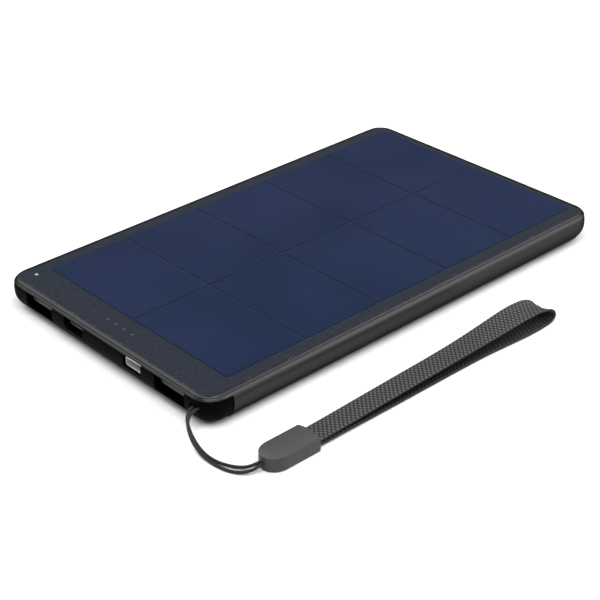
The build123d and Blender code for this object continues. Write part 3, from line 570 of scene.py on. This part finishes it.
def webbing():
    """A ribbon along the strap's line. Its faces carry the weave. Where it folds it is skewed: its front
    edge reaches further out and lies lower than its back edge, its middle sags below a straight line
    between them, and the lower layer bulges out to the front beyond the fold. The faces inside the loop
    are painted darker, as painted shade inside the fold."""
    route = [(x, STRAP_Y, z) for x, z in STRAP_ROUTE]
    line, run = smooth_line("strap_line", route, WEAVE_STEP)
    past = run - run[np.argmax(line[:, 0])]
    skew = -SKEW * hump(past, SKEW_AT, SKEW_REACH)
    droop = DROOP * hump(past, DROOP_AT, DROOP_REACH)
    across = unit(np.stack([skew, np.ones_like(run), droop], axis=1))
    out = unit(np.cross(across, tangents(line)))
    centre = line.copy()
    centre[:, 1] -= BULGE * hump(past, BULGE_AT, BULGE_REACH)
    v, n = strap_section().T
    crown = weave_crowns(run, v, n)
    faces = (np.abs(n) / n.max()) ** FACE_POWER
    height = WEAVE_RELIEF * (crown - WEAVE_MIDDLE) * faces
    rings = (centre[:, None] + v[None, :, None] * across[:, None]
             + (n + np.sign(n) * height)[..., None] * out[:, None])
    rings[..., 2] -= SAG * hump(past, SAG_AT, SAG_REACH)[:, None] * (1 - (2 * v / STRAP_W) ** 2)
    rings[..., 2] = np.maximum(rings[..., 2], TABLE_GAP)
    weave = np.stack(np.broadcast_arrays(run[:, None], v[None]), axis=2)
    # Painted shade: the faces inside the loop keep only a share of their paleness
    shade = crown * np.where(n > 0, LOOP_SHADE_SHARE, 1.0)
    return rings_mesh("wrist_strap_webbing", rings, weave, crown=shade), centre


cord_mesh, cord_line = braided_cord()
cord = show("lanyard_cord_braid", cord_mesh, CORD_YARN, ["lanyard_cord"])
strap_mesh, strap_line = webbing()
strap = show("wrist_strap_webbing", strap_mesh, STRAP_YARN, ["wrist_strap"])

# ---------------------------------------------------------------- ferrule

# The ferrule's ends along x, its middle and half width in y, its crown's top and its nose's length, in mm
FERRULE_NOSE = -79.2
FERRULE_TAIL = -62.8
FERRULE_Y = -70.1
FERRULE_HALF = 4.4
FERRULE_CROWN = 5.0
NOSE_LEN = 5.2
NOSE_POWER = 2.2
CROWN_FALL = 3
# Its rounds at the tail, along its foot and along the top of its sides, and the swell of its sides
TAIL_ROUND = 0.3
FOOT_ROUND = 0.5
TOP_ROUND = 0.22
SIDE_SWELL = 0.06
TIP_HALF = 0.02
TIP_SHARE = 0.8
# Its sections along the nose and behind it, and the points of a section on a round, a side and half the top
NOSE_ROWS = 40
STRAIGHT_ROWS = 30
ROUND_POINTS = 5
SIDE_POINTS = 9
CROWN_POINTS = 12


def quarter(count):
    """Angles from nothing to a quarter turn."""
    return np.linspace(0, np.pi / 2, count)


def ferrule_form():
    """The ferrule drawn as sections across it. Its plan is a half ellipse at the nose and straight behind,
    its sides are upright with a slight swell, and its top rises from a crisp edge as a parabola. A section
    runs from the middle of the bottom up one side to the middle of the top, and is mirrored."""
    x = np.concatenate([
        FERRULE_NOSE + NOSE_LEN * (1 - np.cos(quarter(NOSE_ROWS))),
        np.linspace(FERRULE_NOSE + NOSE_LEN, FERRULE_TAIL - TAIL_ROUND, STRAIGHT_ROWS)[1:],
        FERRULE_TAIL - TAIL_ROUND * (1 - np.sin(quarter(ROUND_POINTS)[1:]))])[:, None]
    u = np.clip((FERRULE_NOSE + NOSE_LEN - x) / NOSE_LEN, 0, 1)
    w = np.clip((x - FERRULE_TAIL + TAIL_ROUND) / TAIL_ROUND, 0, 1)
    tail = TAIL_ROUND * (1 - np.sqrt(1 - w**2))
    half = FERRULE_HALF * np.sqrt(1 - u**NOSE_POWER) + TIP_HALF - tail
    crown = FERRULE_SIDE + (FERRULE_CROWN - FERRULE_SIDE) * (1 - u**CROWN_FALL) - tail
    side = FERRULE_SIDE - tail
    low = TABLE_GAP + tail
    foot = np.minimum(FOOT_ROUND, half * TIP_SHARE)
    top = np.minimum(TOP_ROUND, half * TIP_SHARE)
    bend = quarter(ROUND_POINTS)
    k = np.linspace(0, 1, SIDE_POINTS)[1:-1]
    over = np.linspace(1, 0, CROWN_POINTS)[1:]
    y = np.concatenate([
        (half - foot) * np.array([0.0, 0.5]),
        half - foot + foot * np.sin(bend),
        half + SIDE_SWELL * np.sin(np.pi * k) * np.minimum(1, half),
        half - top * (1 - np.cos(bend)),
        (half - top) * over], axis=1)
    z = np.concatenate([
        low + np.zeros(2),
        low + foot * (1 - np.cos(bend)),
        low + foot + (side - top - low - foot) * k,
        side - top + top * np.sin(bend),
        side + (crown - side) * (1 - over**2)], axis=1)
    y = np.concatenate([y, -y[:, ::-1][:, 1:-1]], axis=1)
    z = np.concatenate([z, z[:, ::-1][:, 1:-1]], axis=1)
    return rings_mesh("ferrule_moulding", np.stack([x + 0 * y, FERRULE_Y + y, z], axis=2))


ferrule = show("ferrule_moulding", ferrule_form(), FERRULE_PLASTIC, ["ferrule"])

# ---------------------------------------------------------------- front sheet and carried-over CAD nodes

# The clear sheet's levels, its corner radius and the round at its upper edge, in mm
FRONT_LOW = 9.96
FRONT_TOP = 10.1
FRONT_CORNER = 3.05
FRONT_EDGE = 0.03
FRONT_FOOT = 0.01
FOOT_INSET = 0.4
CORNER_POINTS = 17
# Insets of the rings on the flat top that keep its shading flat
TOP_INSETS = (FRONT_EDGE + 0.01, FRONT_EDGE + 0.05, 0.5)


def front_sheet():
    """The clear front sheet with the encapsulant under it, as one slab: a rounded rectangle drawn at each
    level of its section, with a small polished round at its upper edge."""
    low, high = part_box("cover_sheet")
    reach = np.array([high.x - low.x, high.y - low.y]) / 2 / MM - FRONT_CORNER
    bend = quarter(ROUND_POINTS)
    flat_top = np.full(len(TOP_INSETS), FRONT_TOP)
    inset = np.concatenate([[FOOT_INSET, 0.0], FRONT_EDGE * (1 - np.cos(bend)), TOP_INSETS])
    rise = FRONT_TOP - FRONT_EDGE * (1 - np.sin(bend))
    z = np.concatenate([[FRONT_LOW, FRONT_LOW + FRONT_FOOT], rise, flat_top])
    turn = (np.arange(4)[:, None] * np.pi / 2 + quarter(CORNER_POINTS)).ravel()
    corner = np.repeat(np.array([(1, 1), (-1, 1), (-1, -1), (1, -1)]), CORNER_POINTS, axis=0) * reach
    radius = (FRONT_CORNER - inset)[:, None]
    x = corner[:, 0] + radius * np.cos(turn)
    y = corner[:, 1] + radius * np.sin(turn)
    return rings_mesh("front_sheet", np.stack([x, y, z[:, None] + 0 * x], axis=2))


show("front_sheet", front_sheet(), COVER, ["cover_sheet", "encapsulant_film"])

SLOT_OF = {part["node"]: part["material_slot"] for part in frame["record"]["subparts"]}
FINISH = {
    "housing_aluminium": ANODISED, "cap_plastic": CAP_ABS, "key_plastic": KEY_ABS,
    "backboard": BACKBOARD, "cover_sheet": COVER, "encapsulant": ENCAPSULANT, "silicon_cell": CELL,
    "ferrule_plastic": FERRULE_PLASTIC, "braided_cord": CORD_YARN, "strap_webbing": STRAP_YARN,
    "led_green": CHARGE_LENS, "light_guide": LEVEL_LENS, **INNER,
}
for name, node in NODES.items():
    node.data.materials.clear()
    node.data.materials.append(FINISH[SLOT_OF[name]])
NODES["charge_light_guide"].data.materials[0] = CHARGE_LENS

# ---------------------------------------------------------------- light and floor


def softbox(name, place, size, power):
    """A rectangular lamp at a place, turned to face the object."""
    data = bpy.data.lights.new(name, "AREA")
    data.shape = "RECTANGLE"
    data.size, data.size_y = size
    data.energy = power
    lamp = bpy.data.objects.new(name, data)
    SCENE.collection.objects.link(lamp)
    lamp.location = place
    lamp.rotation_euler = (-Vector(place)).to_track_quat("-Z", "Y").to_euler()


softbox("softbox_back_left", (-0.35, 0.75, 0.65), (1.0, 0.8), 6.8)
softbox("softbox_right", (0.68, -0.52, 0.60), (1.1, 1.0), 10.6)
softbox("softbox_front", (-0.32, -0.37, 1.25), (1.2, 1.2), 19.0)

world = bpy.data.worlds.new("studio")
SCENE.world = world
world.use_nodes = True
background = world.node_tree.nodes["Background"].inputs
background["Color"].default_value = linear("#FFFFFF")
background["Strength"].default_value = 0.12

FLOOR_HALF = 2.0
FLOOR_DROP = 0.00002
floor_mesh = bpy.data.meshes.new("table")
floor_corners = [(x * FLOOR_HALF, y * FLOOR_HALF, 0) for x, y in ((-1, -1), (1, -1), (1, 1), (-1, 1))]
floor_mesh.from_pydata(floor_corners, [], [(0, 1, 2, 3)])
# White lacquered board, rolled: even and matt
floor_mesh.materials.append(grained("white_table", "#F0F0EF", "#F4F4F3", 8.0, 0.0, 0.8, 0.0))
floor = bpy.data.objects.new("table", floor_mesh)
SCENE.collection.objects.link(floor)
floor.location.z = -FLOOR_DROP
